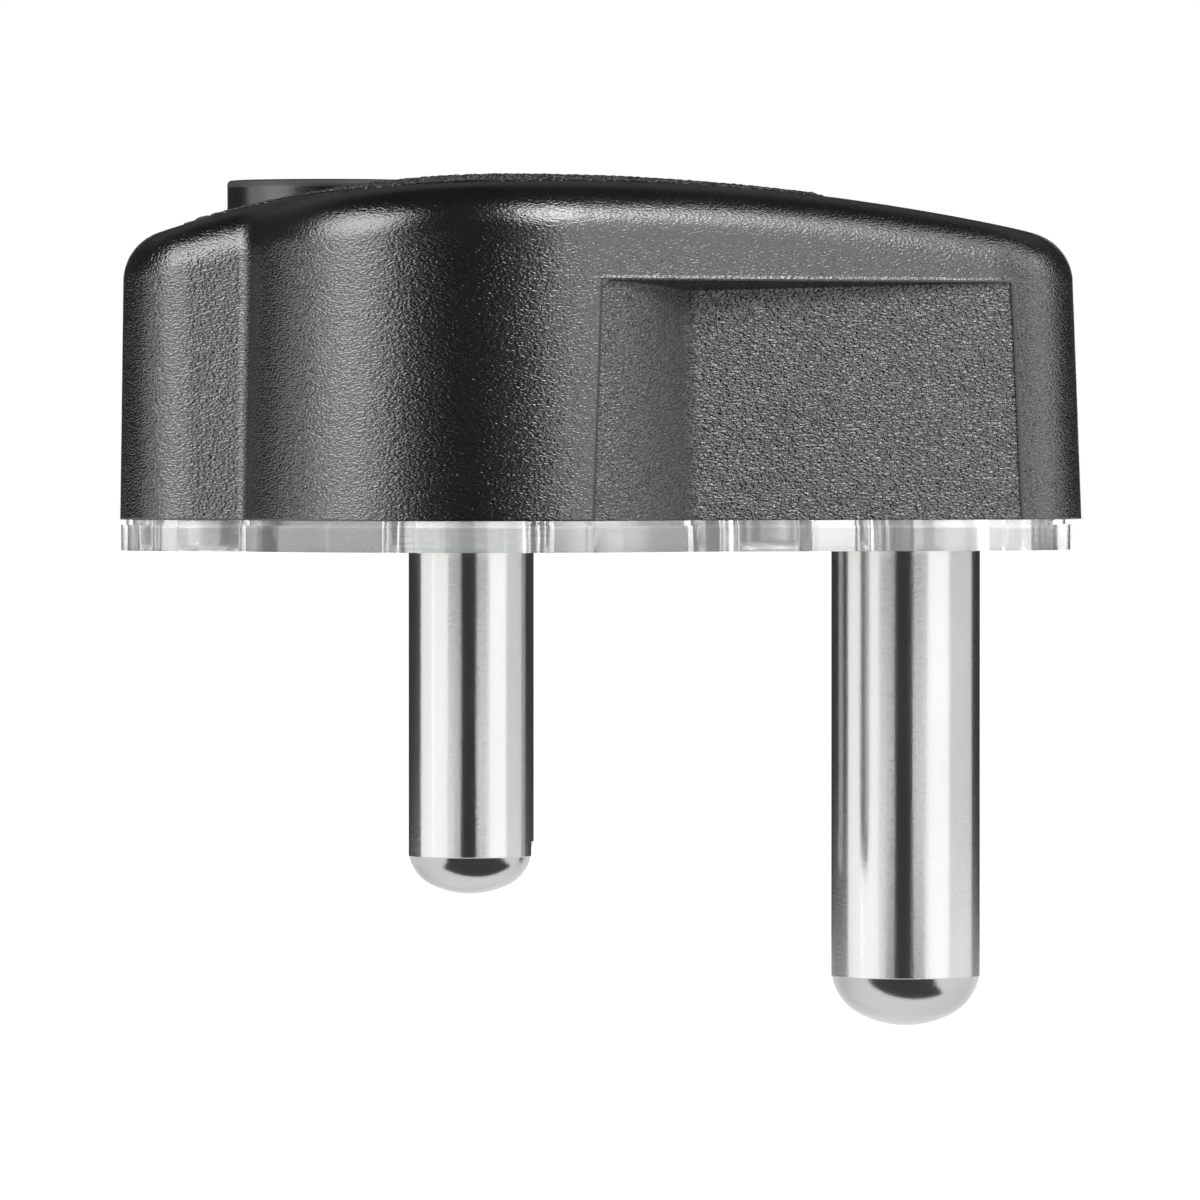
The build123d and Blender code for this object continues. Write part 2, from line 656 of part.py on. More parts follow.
save(build_cover(), "cover")
save(build_base_plate(), "base_plate")
save(build_terminal_housing(), "terminal_housing")
save(build_power_pin(-1), "line_pin")
save(build_power_pin(1), "neutral_pin")
save(build_earth_pin(), "earth_pin")
save(build_terminal_screw(0, -PIN_Y, POWER_HEAD_TOP, POWER_WIRE_HOLE_R), "line_terminal_screw")
save(build_terminal_screw(0, PIN_Y, POWER_HEAD_TOP, POWER_WIRE_HOLE_R), "neutral_terminal_screw")
save(build_terminal_screw(EARTH_X, 0, EARTH_HEAD_TOP, EARTH_WIRE_HOLE_R), "earth_terminal_screw")
save(build_cord_sleeve(), "cord_sleeve")
save(build_clamp_bar(), "cord_clamp_bar")
save(build_clamp_screw(-1), "clamp_screw_line_side")
save(build_clamp_screw(1), "clamp_screw_neutral_side")
save(build_clamp_nut(-1), "clamp_nut_line_side")
save(build_clamp_nut(1), "clamp_nut_neutral_side")
SCREW_NAMES = ("middle", "line_side", "neutral_side")
SCREW_TURNS = (20, 65, 110)
for (x, y), side, turn in zip(SCREW_PLACES, SCREW_NAMES, SCREW_TURNS):
    save(build_cover_screw(x, y, turn), f"cover_screw_{side}")
    save(build_insert(x, y), f"screw_insert_{side}")
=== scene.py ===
# %% [markdown]
# # A round-pin plug top
#
# The real object is a rewirable plug top: a thick black rubber cover, a clear moulded
# base plate and three nickel-plated pins. The solids come ready made from the part's
# source, so this lesson is about light, finish and the fine relief that solids leave out.
# Lengths are in metres, except where a name or a comment says millimetres. The pins point
# down, and +X runs towards the earth pin.

import math

import bpy
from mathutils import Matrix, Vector


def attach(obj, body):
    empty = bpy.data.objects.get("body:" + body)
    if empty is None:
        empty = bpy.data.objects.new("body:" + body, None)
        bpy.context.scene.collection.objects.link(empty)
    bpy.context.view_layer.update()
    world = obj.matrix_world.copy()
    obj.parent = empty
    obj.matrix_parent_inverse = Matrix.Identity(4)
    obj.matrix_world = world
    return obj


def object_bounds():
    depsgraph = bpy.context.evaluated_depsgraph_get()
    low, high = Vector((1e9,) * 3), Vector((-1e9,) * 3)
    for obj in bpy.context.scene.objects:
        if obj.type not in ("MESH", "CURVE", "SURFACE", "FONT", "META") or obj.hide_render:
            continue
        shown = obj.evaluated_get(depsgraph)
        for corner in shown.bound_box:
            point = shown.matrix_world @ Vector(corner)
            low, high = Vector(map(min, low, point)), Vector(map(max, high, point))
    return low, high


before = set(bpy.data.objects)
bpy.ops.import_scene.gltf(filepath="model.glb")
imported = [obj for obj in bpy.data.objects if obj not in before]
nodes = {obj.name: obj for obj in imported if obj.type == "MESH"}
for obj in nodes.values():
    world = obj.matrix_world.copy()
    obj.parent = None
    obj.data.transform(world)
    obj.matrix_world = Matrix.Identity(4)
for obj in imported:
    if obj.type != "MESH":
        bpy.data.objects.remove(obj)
solid_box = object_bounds()
print("nodes:", len(nodes), "box:", solid_box)

# %% [markdown]
# ## Camera
#
# The photograph is a level side view, taken from the line pin's side with a long lens.
# The thick pin is 148.8 pixels wide in it and 8.71 mm on the real plug, which gives
# 17.06 pixels to a millimetre. A far camera with a long lens keeps the near and far side
# of the plug almost the same size. The camera stands a little above the plate and looks
# very slightly down, so no lens shift is needed. The point midway between the two thin
# pins, on the plate's outer face, lies under one known pixel, and every other pixel is
# counted from there.

# %% Camera
MM = 0.001
IMAGE_PIXELS = 1200
PIXELS_PER_MM = 17.06
ORIGIN_PIXEL_X = 472.3
ORIGIN_PIXEL_Y = 549.5
SENSOR_MM = 36
CAMERA_DISTANCE = 0.70
CAMERA_HEIGHT = 0.0064


def photo_point(pixel_x, pixel_y):
    """The point of the plug's middle plane that lies under a pixel of the photograph."""
    x = (pixel_x - ORIGIN_PIXEL_X) / PIXELS_PER_MM * MM
    z = (ORIGIN_PIXEL_Y - pixel_y) / PIXELS_PER_MM * MM
    return Vector((x, 0, z))


aim = photo_point(IMAGE_PIXELS / 2, IMAGE_PIXELS / 2)
stand = Vector((aim.x, -CAMERA_DISTANCE, CAMERA_HEIGHT))
reach = (aim - stand).length

camera_data = bpy.data.cameras.new("camera")
camera_data.sensor_width = SENSOR_MM
camera_data.lens = SENSOR_MM * PIXELS_PER_MM / MM * reach / IMAGE_PIXELS
camera_data.clip_start = 10 * MM
camera = bpy.data.objects.new("camera", camera_data)
camera.location = stand
camera.rotation_euler = (aim - stand).to_track_quat("-Z", "Y").to_euler()
bpy.context.collection.objects.link(camera)
bpy.context.scene.camera = camera
print("lens:", round(camera_data.lens, 1), "mm")

# %% [markdown]
# ## Shader sums
#
# A material here is mostly sums on numbers that change over the surface. Building each
# sum node by node is slow to write and hard to read. One small class wraps a socket and
# takes part in ordinary Python arithmetic, and each sign adds one Math node. A second
# class holds one material, and one method of it adds any node.

# %% Shader sums
class Signal:
    """A number that changes over the surface."""

    def __init__(self, finish, socket):
        self.finish = finish
        self.socket = socket

    def sum(self, operation, *others):
        values = dict(enumerate((self, *others)))
        return self.finish.node("ShaderNodeMath", {"operation": operation}, values)

    def __add__(self, other):
        return self.sum("ADD", other)

    __radd__ = __add__

    def __mul__(self, other):
        return self.sum("MULTIPLY", other)

    __rmul__ = __mul__

    def __sub__(self, other):
        return self.sum("SUBTRACT", other)

    def __rsub__(self, other):
        values = {0: other, 1: self}
        return self.finish.node("ShaderNodeMath", {"operation": "SUBTRACT"}, values)

    def __truediv__(self, other):
        return self.sum("DIVIDE", other)

    def __pow__(self, other):
        return self.sum("POWER", other)

    def __abs__(self):
        return self.sum("ABSOLUTE")

    def least(self, other):
        return self.sum("MINIMUM", other)

    def most(self, other):
        return self.sum("MAXIMUM", other)

    def rise(self, low, high):
        """0 below low, 1 above high, and a soft step between them."""
        settings = {"interpolation_type": "SMOOTHSTEP"}
        values = {"Value": self, "From Min": low, "From Max": high}
        return self.finish.node("ShaderNodeMapRange", settings, values)


BEVEL_SAMPLES = 6


class Finish:
    """One material, with a single way to add any node to it."""

    def __init__(self, name, **even):
        self.material = bpy.data.materials.new(name)
        self.material.use_nodes = True
        self.tree = self.material.node_tree
        self.shader = self.tree.nodes["Principled BSDF"]
        for socket, value in even.items():
            self.shader.inputs[socket.replace("_", " ")].default_value = value

    def node(self, kind, settings=None, values=None, output=0):
        """Add one node: its settings first, then the values or links of its sockets."""
        made = self.tree.nodes.new(kind)
        for name, setting in (settings or {}).items():
            setattr(made, name, setting)
        for name, value in (values or {}).items():
            self.feed(made.inputs[name], value)
        return Signal(self, made.outputs[output])

    def feed(self, socket, value):
        if isinstance(value, Signal):
            self.tree.links.new(value.socket, socket)
        else:
            socket.default_value = value

    def place(self):
        """The point on the surface, in metres, that does not move with the camera."""
        return self.node("ShaderNodeTexCoord", output="Object")

    def axes(self):
        split = self.node("ShaderNodeSeparateXYZ", values={"Vector": self.place()})
        outputs = split.socket.node.outputs
        return [Signal(self, outputs[i]) for i in range(3)]

    def noise(self, size_mm, detail=2.0, rough=0.5, twist=0.0, stretch=(1, 1, 1)):
        """Noise with features of about this size."""
        scale = tuple(s / (size_mm * MM) for s in stretch)
        spread = self.node("ShaderNodeMapping", values={"Vector": self.place(), "Scale": scale})
        values = {
            "Vector": spread,
            "Scale": 1.0,
            "Detail": detail,
            "Roughness": rough,
            "Distortion": twist,
        }
        return self.node("ShaderNodeTexNoise", values=values)

    def blend(self, share, first, second):
        """A colour between two colours. Each is three numbers, or itself a blend."""
        ends = [end if isinstance(end, Signal) else (*end, 1) for end in (first, second)]
        # A Mix node has its colours at sockets 6 and 7 and gives the mixed one at output 2.
        values = {0: share, 6: ends[0], 7: ends[1]}
        return self.node("ShaderNodeMix", {"data_type": "RGBA"}, values, output=2)

    def relief(self, height, depth_mm, edge_mm=0.0):
        """Fine relief of this depth. Sharp edges may be shown rounded by a small radius."""
        values = {"Height": height, "Distance": depth_mm * MM}
        if edge_mm:
            radius = {"Radius": edge_mm * MM}
            values["Normal"] = self.node("ShaderNodeBevel", {"samples": BEVEL_SAMPLES}, radius)
        self.feed(self.shader.inputs["Normal"], self.node("ShaderNodeBump", values=values))

    def set(self, socket, signal):
        self.feed(self.shader.inputs[socket], signal)


def dress(names, finish):
    """Give one finish to the pieces of these names."""
    for name in names:
        piece = nodes[name]
        piece.data.materials.clear()
        piece.data.materials.append(finish.material)
    print(finish.material.name, "on", ", ".join(names))


# %% [markdown]
# ## Cover
#
# The cover is moulded rubber. Its mould was etched, so the walls carry a fine leathery
# grain, and the grip recesses and the top panel carry a coarser one. On the walls the
# grain is far too fine to model, so it is a bump: a twisted noise, stretched a little
# along the plug, because the real wrinkles run mostly level. It reads the point on the
# surface, so the grain keeps its real size everywhere. Two small functions say where the
# coarse grain is. A point inside the plane of the long wall is in a grip recess, and the
# panel has a plan of its own. Where a recess begins and ends there is a dull, thin crease,
# and along its top a slight bead, which catches the light. The hollow beside the flat of a
# recess is duller, because dust stays there. Towards the polished top edge the fine grain
# fades.

# %% Where the coarse grain is
COVER_FOOT = 1.8 * MM
WALL_FACING = math.radians(27.0)
WALL_DISTANCE = 21.308 * MM
WALL_DRAFT = math.tan(math.radians(1.5))
GRIP_START = 7.05 * MM
GRIP_END = 32.1 * MM
GRIP_TOP = 15.5 * MM
START_LEAN = 0.035
END_LEAN = 0.045
SHALLOW = 0.03 * MM
DEEP = 0.10 * MM
EDGE = 0.1 * MM
CREASE = 0.12 * MM
CREASE_CORE = 0.4
BEAD = 0.16 * MM


def grips(finish):
    """The shares of a grip recess, of the crease at its sides and of the bead over it."""
    x, y, z = finish.axes()
    out = x * math.sin(WALL_FACING) + abs(y) * math.cos(WALL_FACING)
    wall = WALL_DISTANCE - (z - COVER_FOOT) * WALL_DRAFT
    inside = (wall - out).rise(SHALLOW, DEEP)
    below = 1 - z.rise(GRIP_TOP - EDGE, GRIP_TOP + EDGE)
    start = x - z * START_LEAN - GRIP_START
    end = x + z * END_LEAN - GRIP_END
    along = start.rise(-EDGE, EDGE) * (1 - end.rise(-EDGE, EDGE))
    crease = 1 - abs(start).least(abs(end)).rise(CREASE * CREASE_CORE, CREASE)
    bead = (1 - abs(z - GRIP_TOP - BEAD) / BEAD).most(0)
    return inside * along * below, crease * below, bead * along


# The panel's plan is in millimetres. The shader and the sheet of the lumps both use it.
PANEL_START = -16.7
PANEL_END = 20.4
LOBE_X = 0.3
LOBE_Y = 7.6
LOBE_R = 10.7
BLOCK_FACING = math.radians(-20.0)
BLOCK_DISTANCE = 13.07
TAPER_DISTANCE = 17.6
COLLAR_X = -8.5
COLLAR_R = 6.85


def panel_depth(x, y, longest, least):
    """How far inside the panel's edge a point lies, in either kind of sum."""
    side = abs(y)
    lobe_x, lobe_y = x - LOBE_X, side - LOBE_Y
    lobe = LOBE_R - (lobe_x * lobe_x + lobe_y * lobe_y) ** 0.5
    block = BLOCK_DISTANCE - x * math.sin(BLOCK_FACING) - side * math.cos(BLOCK_FACING)
    taper = TAPER_DISTANCE - x * math.sin(WALL_FACING) - side * math.cos(WALL_FACING)
    collar = ((x - COLLAR_X) * (x - COLLAR_X) + side * side) ** 0.5 - COLLAR_R
    ends = least(x - PANEL_START, PANEL_END - x)
    return least(least(longest(lobe, block), taper), least(collar, ends))


# %% Places on the cover
PANEL_EDGE_MM = 0.1
ON_TOP = (17 * MM, 17.5 * MM)
TOP_EDGE = (16.5 * MM, 19 * MM)
HOLLOW_BEGINS = (7.5 * MM, 12.2 * MM)
HOLLOW_ENDS = (12.5 * MM, 13.3 * MM)

rubber = Finish("cover_rubber", IOR=1.6, Specular_IOR_Level=0.9)
in_grip, crease, bead = grips(rubber)
at_x, at_y, at_z = rubber.axes()
depth = panel_depth(at_x / MM, at_y / MM, Signal.most, Signal.least)
on_panel = depth.rise(-PANEL_EDGE_MM, PANEL_EDGE_MM) * at_z.rise(*ON_TOP)
coarse = in_grip.most(on_panel)
polished = at_z.rise(*TOP_EDGE)
hollow = in_grip * at_x.rise(*HOLLOW_BEGINS) * (1 - at_x.rise(*HOLLOW_ENDS))

# %% Cover rubber
FINE_GRAIN_MM = 0.17
COARSE_GRAIN_MM = 0.19
WRINKLES = {"detail": 0.5, "rough": 0.5, "twist": 0.5, "stretch": (0.9, 0.9, 1.7)}
RELIEF_MM = 0.07
WORN_EDGE_MM = 0.2
FINE_HEIGHT = 0.62
POLISHED_LOSS = 0.30
COARSE_HEIGHT = 1.7
HOLLOW_GAIN = 0.9
BEAD_HEIGHT = 0.75
PATCH_MM = 9.0
PATCH_RANGE = (0.35, 0.7)
SKIN_ROUGHNESS = 0.15
BLACK, WORN_BLACK = (0.003, 0.003, 0.0032), (0.005, 0.005, 0.0053)

fine_grain = rubber.noise(FINE_GRAIN_MM, **WRINKLES)
coarse_grain = rubber.noise(COARSE_GRAIN_MM, **WRINKLES)
fine = fine_grain * ((1 - coarse) * (FINE_HEIGHT - polished * POLISHED_LOSS))
rough = coarse_grain * coarse * (COARSE_HEIGHT + hollow * HOLLOW_GAIN)
rubber.relief(fine + rough + bead * BEAD_HEIGHT, RELIEF_MM, edge_mm=WORN_EDGE_MM)

patches = rubber.noise(PATCH_MM, detail=3.0)
duller = [(patches, 0.04), (coarse, 0.08), (crease, 0.5), (polished, 0.06), (hollow, 0.32)]
sheen = SKIN_ROUGHNESS
for place, extra in duller:
    sheen = sheen + place * extra
rubber.set("Roughness", sheen)
rubber.set("Base Color", rubber.blend(patches.rise(*PATCH_RANGE), BLACK, WORN_BLACK))
dress(["cover"], rubber)

# %% [markdown]
# ## Lumps on the top panel
#
# Seen edge on, along the top, the panel's coarse grain breaks the outline into short
# dashes. A bump can't change an outline, so these lumps are real shapes. There are more
# than a thousand, which is slow to place by hand, and an array looks regular. Geometry
# Nodes scatter them: points on a sheet that has the panel's shape, never nearer to each
# other than a set spacing, and on each point one small rounded lump, turned and sized by
# chance with a fixed seed.

# %% The panel as a sheet
# In millimetres, as the panel's plan.
CREST_X = 2.2
CREST_Z = 21.9
LEFT_DOME_R = 64.45
RIGHT_DOME_R = 142.55
CROWN_R = 260.05
SHEET_STEP = 0.5
SHEET_MARGIN = 0.5
SHEET_HALF_WIDTH = 20.0


def panel_height(x, y):
    """The height of the panel over a point, in millimetres: two arcs along it, one across."""
    dome = LEFT_DOME_R if x < CREST_X else RIGHT_DOME_R
    centre = CREST_Z - dome
    crest = CREST_Z - CROWN_R + math.sqrt(CROWN_R**2 - y**2)
    return centre + math.sqrt((crest - centre) ** 2 - (x - CREST_X) ** 2)


def panel_sheet():
    """A mesh that follows the panel and stops a little inside its edge."""
    points, faces, known = [], [], {}

    def corner(column, row):
        if (column, row) not in known:
            x, y = PANEL_START + column * SHEET_STEP, row * SHEET_STEP
            known[column, row] = len(points)
            points.append((x * MM, y * MM, panel_height(x, y) * MM))
        return known[column, row]

    columns = int((PANEL_END - PANEL_START) / SHEET_STEP)
    rows = int(SHEET_HALF_WIDTH / SHEET_STEP)
    for i in range(columns):
        for j in range(-rows, rows):
            steps = [(i, j), (i + 1, j), (i + 1, j + 1), (i, j + 1)]
            places = [(PANEL_START + a * SHEET_STEP, b * SHEET_STEP) for a, b in steps]
            if min(panel_depth(x, y, max, min) for x, y in places) > SHEET_MARGIN:
                faces.append([corner(a, b) for a, b in steps])
    mesh = bpy.data.meshes.new("panel_sheet")
    mesh.from_pydata(points, [], faces)
    print("panel sheet:", len(faces), "faces")
    return mesh


# %% Lumps by Geometry Nodes
def grow(tree, kind, settings=None, values=None):
    """Add one node to a tree, set it, and give its sockets values or links."""
    made = tree.nodes.new(kind)
    for name, setting in (settings or {}).items():
        setattr(made, name, setting)
    for name, value in (values or {}).items():
        if isinstance(value, bpy.types.NodeSocket):
            tree.links.new(value, made.inputs[name])
        else:
            made.inputs[name].default_value = value
    return made.outputs


def chance(tree, low, high, seed):
    """A vector between two vectors, different for every lump."""
    # Sockets 0 and 1 are the two vectors, and socket 8 is the seed.
    values = {0: low, 1: high, 8: seed}
    return grow(tree, "FunctionNodeRandomValue", {"data_type": "FLOAT_VECTOR"}, values)[0]


LUMP_SIZES = {
    "Spacing": 0.55 * MM,
    "Length": 0.62 * MM,
    "Width": 0.36 * MM,
    "Thickness": 0.17 * MM,
}
# So many spots are tried on each square of the spacing, and those too near are dropped.
TRIES = 4.0
TURN = math.radians(50)
SMALLEST = (0.7, 0.75, 0.5)
LARGEST = (1.25, 1.15, 1.2)
SPOT_SEED, TURN_SEED, SIZE_SEED = 7, 1, 2
BALL = {"Segments": 7, "Rings": 4, "Radius": 0.5}

lumps = bpy.data.node_groups.new("panel_lumps", "GeometryNodeTree")
sockets = {}
for name in ("Sheet", *LUMP_SIZES):
    kind = "NodeSocketGeometry" if name == "Sheet" else "NodeSocketFloat"
    sockets[name] = lumps.interface.new_socket(name, in_out="INPUT", socket_type=kind)
lumps.interface.new_socket("Lumps", in_out="OUTPUT", socket_type="NodeSocketGeometry")
given = lumps.nodes.new("NodeGroupInput").outputs

values = {0: given["Spacing"], 1: given["Spacing"]}
square = grow(lumps, "ShaderNodeMath", {"operation": "MULTIPLY"}, values)
crowd = grow(lumps, "ShaderNodeMath", {"operation": "DIVIDE"}, {0: TRIES, 1: square[0]})
method = {"distribute_method": "POISSON"}
values = {
    "Mesh": given["Sheet"],
    "Distance Min": given["Spacing"],
    "Density Max": crowd[0],
    "Seed": SPOT_SEED,
}
spots = grow(lumps, "GeometryNodeDistributePointsOnFaces", method, values)

ball = grow(lumps, "GeometryNodeMeshUVSphere", None, BALL)
values = {"X": given["Length"], "Y": given["Width"], "Z": given["Thickness"]}
size = grow(lumps, "ShaderNodeCombineXYZ", None, values)
lump = grow(lumps, "GeometryNodeTransform", None, {"Geometry": ball["Mesh"], "Scale": size[0]})
soft_lump = grow(lumps, "GeometryNodeSetShadeSmooth", None, {0: lump[0]})

turned = chance(lumps, (0, 0, -TURN), (0, 0, TURN), TURN_SEED)
turn = grow(lumps, "FunctionNodeEulerToRotation", None, {"Euler": turned})
values = {"Rotation": turn[0], "Vector": spots["Normal"]}
stand_up = grow(lumps, "FunctionNodeAlignRotationToVector", {"axis": "Z"}, values)
values = {
    "Points": spots["Points"],
    "Instance": soft_lump[0],
    "Rotation": stand_up[0],
    "Scale": chance(lumps, SMALLEST, LARGEST, SIZE_SEED),
}
placed = grow(lumps, "GeometryNodeInstanceOnPoints", None, values)
solid = grow(lumps, "GeometryNodeRealizeInstances", None, {"Geometry": placed[0]})
values = {"Geometry": solid[0], "Material": rubber.material}
finished = grow(lumps, "GeometryNodeSetMaterial", None, values)
grow(lumps, "NodeGroupOutput", None, {"Lumps": finished[0]})

# %% The lumps as one mesh
carrier = bpy.data.objects.new("panel_sheet", panel_sheet())
bpy.context.collection.objects.link(carrier)
scatter = carrier.modifiers.new("lumps", "NODES")
scatter.node_group = lumps
for name, amount in LUMP_SIZES.items():
    scatter[sockets[name].identifier] = amount
evaluated = carrier.evaluated_get(bpy.context.evaluated_depsgraph_get())
panel_grain = bpy.data.objects.new("panel_grain", bpy.data.meshes.new_from_object(evaluated))
bpy.context.collection.objects.link(panel_grain)
carrier.modifiers.remove(scatter)
bpy.data.objects.remove(carrier)
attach(panel_grain, "root")
print("panel lumps:", len(panel_grain.data.polygons), "faces")

# %% [markdown]
# ## Cord sleeve
#
# The sleeve is a softer, smooth rubber moulding with a satin skin. A faint ripple keeps
# its reflection from looking machined, and its rim, where hands and cords rub, is dull.

# %% Sleeve rubber
WORN_RIM = (21.1 * MM, 21.3 * MM)
SATIN = 0.20
RIM_WEAR = 0.45
SLEEVE_BLACK, SLEEVE_GREY = (0.003, 0.003, 0.0032), (0.006, 0.006, 0.0063)

soft_rubber = Finish("sleeve_rubber", IOR=1.6, Specular_IOR_Level=0.9)
ripple = soft_rubber.noise(2.5, detail=2.0, stretch=(1, 1, 0.3))
speck = soft_rubber.noise(0.12, detail=2.0)
soft_rubber.relief(ripple * 0.6 + speck * 0.15, depth_mm=0.03)
worn_rim = soft_rubber.axes()[2].rise(*WORN_RIM)
soft_rubber.set("Roughness", SATIN + speck * 0.08 + worn_rim * RIM_WEAR)
soft_rubber.set("Base Color", soft_rubber.blend(ripple, SLEEVE_BLACK, SLEEVE_GREY))
dress(["cord_sleeve"], soft_rubber)

# %% [markdown]
# ## Pins
#
# The pins are turned brass with a bright nickel plate. Plating follows the fine marks
# that drawing the rod left along it, so the bump is stretched along the pin. Tiny pits
# break up the edge of each dark reflection, and broad faint clouds leave some places a
# little duller than others.

# %% Nickel plate
ALONG_PIN = (1, 1, 0.02)
DEEP_PITS = (0.5, 0.8)
BRIGHT_PLATE = 0.13
NICKEL, PALE_NICKEL = (0.50, 0.497, 0.49), (0.58, 0.577, 0.57)

nickel = Finish("plated_pin", Metallic=1.0)
drawn = nickel.noise(0.20, detail=3.0, rough=0.6, stretch=ALONG_PIN)
pits = nickel.noise(0.16, detail=3.0, rough=0.7)
dull = nickel.noise(4.0, detail=3.0, stretch=(1, 1, 0.4))
nickel.relief(drawn * 0.5 + pits * 0.5, depth_mm=0.006)
nickel.set("Roughness", BRIGHT_PLATE + pits.rise(*DEEP_PITS) * 0.10 + dull * 0.05)
nickel.set("Base Color", nickel.blend(dull, NICKEL, PALE_NICKEL))
dress(["line_pin", "neutral_pin", "earth_pin"], nickel)

# %% [markdown]
# ## Clear base plate
#
# The plate is clear polycarbonate. It bends light strongly, so the pins look broken where
# they pass through it, and its edge carries streaks from everything behind. Real
# refraction does most of this, with a whisper of ripple from the mould. Painted streaks of
# light and shade in its colour add to the refracted ones, and the thin band right under the
# cover is painted white, a painted highlight.

# %% Clear plastic
# The band's heights and its white make a painted highlight. The two greys carry painted streaks
# of light and shade.
LIP = (1.22 * MM, 1.30 * MM)
LIP_LEAN = 0.008
TINT, PALE_TINT, PAINTED_HIGHLIGHT_WHITE = (0.62, 0.63, 0.63), (0.84, 0.85, 0.85), (1, 1, 1)

clear = Finish("clear_plate", Transmission_Weight=0.88, IOR=1.585, Roughness=0.06)
_, clear_y, clear_z = clear.axes()
clear_ripple = clear.noise(3.0, detail=2.0)
streaks = clear.noise(1.2, detail=3.0, rough=0.6, stretch=(0.35, 0.35, 5.0))
clear.relief(clear_ripple + streaks * 0.25, depth_mm=0.02)
# Painted light and shade: the streaks in this colour stand in for what the plate bends from
# behind. The ripple is the plastic's own uneven colour.
tint_and_painted_streaks = clear.blend((clear_ripple + streaks) * 0.5, TINT, PALE_TINT)
# Painted highlight: the thin band right under the cover is painted white, as a bright line
# along the plate's top edge.
painted_bright_lip = (clear_z + clear_y * LIP_LEAN).rise(*LIP)
clear.set("Base Color", clear.blend(painted_bright_lip, tint_and_painted_streaks, PAINTED_HIGHLIGHT_WHITE))
dress(["base_plate"], clear)

# %% [markdown]
# ## Inside plastics
#
# The terminal housing is a natural insulating moulding and the clamp bar a dark one.
# Both are seen only through the plate or when the plug is opened, and get a fine matt
# skin with a little unevenness.

# %% Housing and clamp plastics
CREAM, DEEP_CREAM = (0.62, 0.61, 0.57), (0.55, 0.54, 0.50)
SOOT, DEEP_SOOT = (0.07, 0.07, 0.075), (0.05, 0.05, 0.054)


def moulded(name, light, dark, grain_mm, roughness):
    """A plain moulding: a fine skin, and faint clouds in its colour and gloss."""
    plastic = Finish(name)
    cloud = plastic.noise(6.0, detail=3.0)
    skin = plastic.noise(grain_mm, detail=2.0)
    plastic.relief(skin, depth_mm=0.02)
    plastic.set("Roughness", roughness + cloud * 0.08)
    plastic.set("Base Color", plastic.blend(cloud, dark, light))
    return plastic


housing_plastic = moulded("housing_plastic", CREAM, DEEP_CREAM, grain_mm=0.25, roughness=0.45)
clamp_plastic = moulded("clamp_plastic", SOOT, DEEP_SOOT, grain_mm=0.2, roughness=0.4)
dress(["terminal_housing"], housing_plastic)
dress(["cord_clamp_bar"], clamp_plastic)

# %% [markdown]
# ## Small metal
#
# Screws are zinc-plated steel with faint turned rings, and nuts and inserts are bare
# brass that has dulled a little.

# %% Screws, nuts and inserts
ZINC, DULL_ZINC = (0.62, 0.62, 0.61), (0.48, 0.48, 0.47)
BRASS, DULL_BRASS = (0.75, 0.60, 0.30), (0.55, 0.42, 0.20)


def small_metal(name, bright, dulled, roughness):
    """A turned metal with fine level rings and patches of tarnish."""
    metal = Finish(name, Metallic=1.0)
    tarnish = metal.noise(1.6, detail=4.0)
    marks = metal.noise(0.15, detail=3.0, stretch=(1, 1, 6))
    metal.relief(marks, depth_mm=0.008)
    metal.set("Roughness", roughness + tarnish * 0.15)
    metal.set("Base Color", metal.blend(tarnish.rise(*PATCH_RANGE), bright, dulled))
    return metal


screws = [name for name in nodes if "screw" in name and "insert" not in name]
brass = [name for name in nodes if "insert" in name or "nut" in name]
dress(sorted(screws), small_metal("screw_steel", ZINC, DULL_ZINC, roughness=0.22))
dress(sorted(brass), small_metal("insert_brass", BRASS, DULL_BRASS, roughness=0.25))

# %% [markdown]
# ## Table and background
#
# The photograph has a plain white background and the plug hangs free in it. Here a pale
# table lies a little under the longest pin and keeps the plug's soft shadow. It glows
# a little on the way to the camera: least close to the plug, where the shadow falls, and
# most further back, where the lamps no longer reach. The world is white to the camera, to
# mirrors and to clear plastic, and a dim fill light to everything else.

# %% Table and world
TABLE_DROP = 0.022
TABLE_Z = solid_box[0][2] - TABLE_DROP
TABLE_FRONT = -1.2
TABLE_BACK = 6.0
TABLE_SIDE = 4.0
PAPER, PALE_PAPER = (0.80, 0.80, 0.80), (0.82, 0.82, 0.82)
# The rings are squares of distances from the plug, in square metres.
SHADOW_RING = (0.003, 0.03)
FAR_RING = (0.02, 0.6)
GLOW_CLOSE = 0.25
GLOW_ROUND = 0.30
GLOW_FAR = 0.45
GLOW_MIRRORED = 0.15
FILL = 0.20


def sheet(name, points, faces, finish):
    """A flat-sided piece of the studio, which is not part of the plug."""
    mesh = bpy.data.meshes.new(name)
    mesh.from_pydata(points, [], faces)
    made = bpy.data.objects.new(name, mesh)
    made.data.materials.append(finish.material)
    bpy.context.collection.objects.link(made)
    return made


class Sky(Finish):
    """The world's tree takes nodes in the same way as a material's."""

    def __init__(self, tree):
        self.tree = tree


def shown_white(finish):
    """Two signals: 1 for what the camera sees, also through plastic, and 1 for mirrors."""
    straight = finish.node("ShaderNodeLightPath", output="Is Camera Ray")
    outputs = straight.socket.node.outputs
    through = Signal(finish, outputs["Is Transmission Ray"])
    mirrored = Signal(finish, outputs["Is Glossy Ray"])
    return straight.most(through), mirrored


